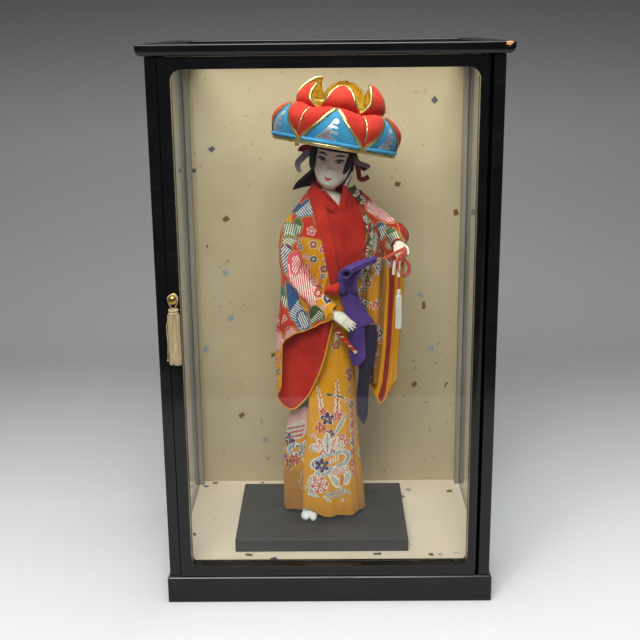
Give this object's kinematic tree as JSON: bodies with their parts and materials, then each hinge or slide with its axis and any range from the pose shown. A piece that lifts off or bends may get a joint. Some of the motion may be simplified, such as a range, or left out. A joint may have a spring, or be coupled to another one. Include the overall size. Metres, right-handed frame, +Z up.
{
  "type": "japanese dancer doll in display case",
  "caption": "Robed dancer doll with a flower hat, standing on a board in a black lacquered case with glass sides and a hinged glass door pulled by a tassel.",
  "frame": {"origin": "middle of the case's underside, on the surface it stands on", "axes": "+Z up, -Y towards the viewer through the door, +X to the viewer's right"},
  "size_m": [0.345, 0.264, 0.563],
  "materials": {
    "black_lacquer": "gloss black lacquer over wood",
    "flecked_paper": "beige paper with metal-leaf flecks on board",
    "clear_glass": "clear float glass",
    "brass": "polished brass",
    "steel": "plain steel",
    "cream_cord": "pale gold silk cord",
    "black_board": "satin black paint",
    "bare_wood": "plain dowel",
    "straw_core": "bound straw and paper padding",
    "white_cloth": "white silk",
    "shell_white": "satin shell-white paint",
    "black_hair": "combed black silk",
    "red_cloth": "plain red silk",
    "yellow_print": "yellow stencil-dyed silk with red lining",
    "purple_cloth": "purple crepe",
    "hat_cloth": "red and blue cloth on card with gold edging",
    "gold_tape": "gold foil tape"
  },
  "bodies": {
    "case": {"base_plinth": "black_lacquer", "front_left_post": "black_lacquer", "front_right_post": "black_lacquer", "rear_left_post": "black_lacquer", "rear_right_post": "black_lacquer", "left_top_rail": "black_lacquer", "right_top_rail": "black_lacquer", "cornice_frame": "black_lacquer", "floor_board": "flecked_paper", "back_panel": "flecked_paper", "left_side_glass": "clear_glass", "right_side_glass": "clear_glass", "top_glass": "clear_glass", "catch_magnet": "steel", "display_stand": "black_board", "right_leg": "bare_wood", "left_leg": "bare_wood", "body_core": "straw_core", "right_arm": "straw_core", "left_arm": "straw_core", "right_foot": "white_cloth", "left_foot": "white_cloth", "head": "shell_white", "right_hand": "shell_white", "left_hand": "shell_white", "hair": "black_hair", "red_under_robe": "red_cloth", "right_collar_band": "red_cloth", "left_collar_band": "red_cloth", "left_ribbon": "red_cloth", "right_ribbon": "red_cloth", "robe_upper": "yellow_print", "robe_skirt": "yellow_print", "right_sleeve": "yellow_print", "left_sleeve": "yellow_print", "purple_sash": "purple_cloth", "sash_tail": "purple_cloth", "head_scarf": "purple_cloth", "hat_brim": "hat_cloth", "hat_crown": "hat_cloth", "hat_rim_band": "gold_tape"},
    "door": {"door_frame": "black_lacquer", "door_glass": "clear_glass", "top_glazing_bead": "black_lacquer", "bottom_glazing_bead": "black_lacquer", "left_glazing_bead": "black_lacquer", "right_glazing_bead": "black_lacquer", "lower_pivot_pin": "brass", "upper_pivot_pin": "brass", "door_knob": "brass", "strike_plate": "steel"},
    "door_tassel": {"tassel_loop": "cream_cord", "tassel_collar": "cream_cord", "tassel_skirt": "cream_cord"},
    "hand_tassel": {"hand_cord": "red_cloth", "hand_tassel": "white_cloth"}
  },
  "joints": [
    {"name": "door_hinge", "type": "hinge", "parent": "case", "child": "door", "pos_m": [0.1453, -0.1135, 0], "axis": [0, 0, 1], "range_deg": [0, 90]},
    {"name": "door_tassel_swing", "type": "hinge", "parent": "door", "child": "door_tassel", "pos_m": [-0.14765, -0.129, 0.327], "axis": [0, 1, 0], "range_deg": [-25, 25]},
    {"name": "hand_tassel_swing", "type": "hinge", "parent": "case", "child": "hand_tassel", "pos_m": [0.074, -0.045, 0.3502], "axis": [0, 1, 0], "range_deg": [-15, 15]}
  ]
}
